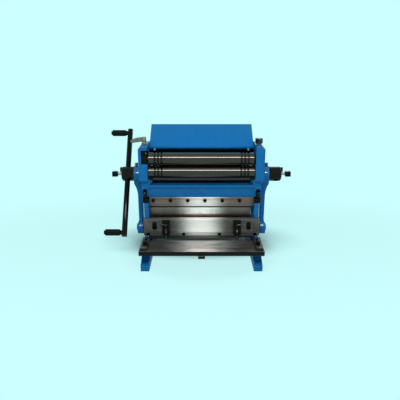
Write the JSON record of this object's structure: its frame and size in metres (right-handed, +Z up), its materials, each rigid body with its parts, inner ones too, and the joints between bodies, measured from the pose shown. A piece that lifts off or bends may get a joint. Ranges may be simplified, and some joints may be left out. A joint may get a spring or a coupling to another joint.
{
  "type": "slip roll machine",
  "caption": "Bench-top slip roll with a bending brake and a shear below the rolls, worked by a cross shaft with a hand bar.",
  "frame": {"origin": "on the bench, at the centre of the four bench holes", "axes": "+X to the operator's right, +Y away from the operator, +Z up"},
  "size_m": [0.5515, 0.2831, 0.3826],
  "materials": {
    "blue_paint": "gloss enamel",
    "ground_steel": "ground",
    "table_iron": "planed top, dark edges",
    "machined_steel": "turned and milled",
    "black_steel": "black oxide",
    "grip_plastic": "gloss",
    "roll_steel": "ground and oiled, dark",
    "bronze": "bored"
  },
  "bodies": {
    "frame": {"side_frame_left": "blue_paint", "side_frame_right": "blue_paint", "table": "table_iron", "lower_blade": "ground_steel", "side_guides": "table_iron", "socket_screws": "black_steel", "frame_bolts": "black_steel", "tie_rod": "machined_steel", "top_beam": "blue_paint", "clamp_plate": "ground_steel", "finger_1": "ground_steel", "finger_2": "ground_steel", "finger_3": "ground_steel", "finger_4": "ground_steel", "finger_5": "ground_steel", "finger_6": "ground_steel", "roll_housing_left": "blue_paint", "roll_housing_right": "blue_paint", "bearing_bushes": "bronze", "cover": "blue_paint", "cover_bracket": "black_steel", "idler_stud": "machined_steel"},
    "drive": {"drive_shaft": "machined_steel", "shaft_gear": "machined_steel", "hub_left": "black_steel", "hub_right": "black_steel"},
    "hand_bar": {"crank_bar": "roll_steel"},
    "grip_upper": {"grip_upper": "grip_plastic"},
    "grip_lower": {"grip_lower": "grip_plastic"},
    "lock_screw_left": {"lock_screw_left": "black_steel"},
    "lock_screw_right": {"lock_screw_right": "black_steel"},
    "arm_left": {"arm_left": "blue_paint", "arm_pin_left": "blue_paint"},
    "arm_right": {"arm_right": "blue_paint", "arm_pin_right": "blue_paint"},
    "ram": {"ram": "blue_paint", "ram_plate": "ground_steel", "upper_blade": "ground_steel", "ram_screws": "black_steel", "v_die": "ground_steel", "holddown_brackets": "black_steel", "stud_blocks": "black_steel", "spring_left": "machined_steel", "spring_right": "machined_steel"},
    "plunger_left": {"plunger_left": "machined_steel"},
    "plunger_right": {"plunger_right": "machined_steel"},
    "lift": {"lift_block": "machined_steel"},
    "yoke": {"swivel_bearing": "machined_steel", "roll_block_left": "black_steel"},
    "upper_roll": {"upper_roll": "roll_steel"},
    "clamp_lever": {"clamp_lever": "machined_steel"},
    "adjusting_screw": {"adjusting_screw": "roll_steel"},
    "lower_roll": {"lower_roll": "roll_steel", "lower_roll_gear": "machined_steel"},
    "upper_gear": {"upper_roll_gear": "machined_steel"},
    "idler": {"idler_gear": "machined_steel"},
    "rear_carrier": {"rear_roll_blocks": "machined_steel"},
    "rear_roll": {"rear_roll": "roll_steel"},
    "rear_screw_left": {"rear_screw_left": "black_steel"},
    "rear_screw_right": {"rear_screw_right": "black_steel"}
  },
  "joints": [
    {"name": "drive_turn", "type": "hinge", "parent": "frame", "child": "drive", "pos_m": [0, 0.055, 0.238], "axis": [1, 0, 0], "continuous": true},
    {"name": "idler_turn", "type": "hinge", "parent": "frame", "child": "idler", "pos_m": [0.174, 0.02036, 0.2705], "axis": [1, 0, 0], "continuous": true},
    {"name": "lower_roll_turn", "type": "hinge", "parent": "frame", "child": "lower_roll", "pos_m": [0, -0.02, 0.262], "axis": [1, 0, 0], "continuous": true},
    {"name": "upper_gear_turn", "type": "hinge", "parent": "frame", "child": "upper_gear", "pos_m": [0.174, -0.02, 0.2995], "axis": [1, 0, 0], "continuous": true},
    {"name": "hand_bar_slide", "type": "slide", "parent": "drive", "child": "hand_bar", "axis": [0, 0.6074, 0.7944], "range_m": [-0.03, 0.03]},
    {"name": "grip_upper_spin", "type": "hinge", "parent": "hand_bar", "child": "grip_upper", "pos_m": [-0.223, 0.13942, 0.34842], "axis": [1, 0, 0], "continuous": true},
    {"name": "grip_lower_spin", "type": "hinge", "parent": "hand_bar", "child": "grip_lower", "pos_m": [-0.223, -0.05736, 0.09103], "axis": [1, 0, 0], "continuous": true},
    {"name": "lock_screw_left_turn", "type": "hinge", "parent": "drive", "child": "lock_screw_left", "pos_m": [-0.25, 0.055, 0.238], "axis": [-1, 0, 0], "range_deg": [0, 360]},
    {"name": "lock_screw_right_turn", "type": "hinge", "parent": "drive", "child": "lock_screw_right", "pos_m": [0.25, 0.055, 0.238], "axis": [1, 0, 0], "range_deg": [0, 360]},
    {"name": "arm_left_turn", "type": "hinge", "parent": "drive", "child": "arm_left", "pos_m": [-0.191, 0.045, 0.238], "axis": [1, 0, 0], "continuous": true},
    {"name": "arm_right_turn", "type": "hinge", "parent": "drive", "child": "arm_right", "pos_m": [0.191, 0.045, 0.238], "axis": [1, 0, 0], "continuous": true},
    {"name": "ram_slide", "type": "slide", "parent": "frame", "child": "ram", "axis": [0, 0, 1], "range_m": [-0.01, 0.01]},
    {"name": "plunger_left_slide", "type": "slide", "parent": "ram", "child": "plunger_left", "axis": [0, 0, 1], "range_m": [0, 0.008], "stiffness_N_per_m": 150, "springref_m": -0.004, "deforming": ["spring_left"]},
    {"name": "plunger_right_slide", "type": "slide", "parent": "ram", "child": "plunger_right", "axis": [0, 0, 1], "range_m": [0, 0.008], "stiffness_N_per_m": 150, "springref_m": -0.004, "deforming": ["spring_right"]},
    {"name": "lift_slide", "type": "slide", "parent": "frame", "child": "lift", "axis": [0, 0, 1], "range_m": [-0.0008, 0.0015]},
    {"name": "roll_swing", "type": "hinge", "parent": "lift", "child": "yoke", "pos_m": [0.1585, -0.02, 0.2995], "axis": [0, 0, 1], "range_deg": [0, 10]},
    {"name": "upper_roll_turn", "type": "hinge", "parent": "yoke", "child": "upper_roll", "pos_m": [0, -0.02, 0.2995], "axis": [1, 0, 0], "continuous": true},
    {"name": "clamp_lever_turn", "type": "hinge", "parent": "lift", "child": "clamp_lever", "pos_m": [-0.1612, -0.02, 0.34], "axis": [0, 0, 1], "range_deg": [-193, 361]},
    {"name": "adjusting_screw_turn", "type": "hinge", "parent": "lift", "child": "adjusting_screw", "pos_m": [0.1612, -0.02, 0.34], "axis": [0, 0, 1], "range_deg": [-193, 361]},
    {"name": "rear_roll_lift", "type": "slide", "parent": "frame", "child": "rear_carrier", "axis": [0, 0, 1], "range_m": [0, 0.024]},
    {"name": "rear_roll_turn", "type": "hinge", "parent": "rear_carrier", "child": "rear_roll", "pos_m": [0, 0.018, 0.234], "axis": [1, 0, 0], "continuous": true},
    {"name": "rear_screw_left_turn", "type": "hinge", "parent": "rear_carrier", "child": "rear_screw_left", "pos_m": [-0.154, 0.018, 0.19], "axis": [0, 0, 1], "range_deg": [-1, 6914]},
    {"name": "rear_screw_right_turn", "type": "hinge", "parent": "rear_carrier", "child": "rear_screw_right", "pos_m": [0.154, 0.018, 0.19], "axis": [0, 0, 1], "range_deg": [-1, 6914]}
  ],
  "couplings": [
    {"joint": "idler_turn", "follows": "drive_turn", "ratio": -1.1111},
    {"joint": "lower_roll_turn", "follows": "drive_turn", "ratio": 1.3333},
    {"joint": "upper_gear_turn", "follows": "drive_turn", "ratio": -1.3333},
    {"joint": "upper_roll_turn", "follows": "drive_turn", "ratio": -1.3333},
    {"joint": "arm_left_turn", "follows": "drive_turn", "ratio": -1},
    {"joint": "arm_right_turn", "follows": "drive_turn", "ratio": -1},
    {"joint": "clamp_lever_turn", "follows": "lift_slide", "rad_per_m": 4188.8},
    {"joint": "adjusting_screw_turn", "follows": "lift_slide", "rad_per_m": 4188.8},
    {"joint": "rear_screw_left_turn", "follows": "rear_roll_lift", "rad_per_m": 5026.5},
    {"joint": "rear_screw_right_turn", "follows": "rear_roll_lift", "rad_per_m": 5026.5}
  ]
}
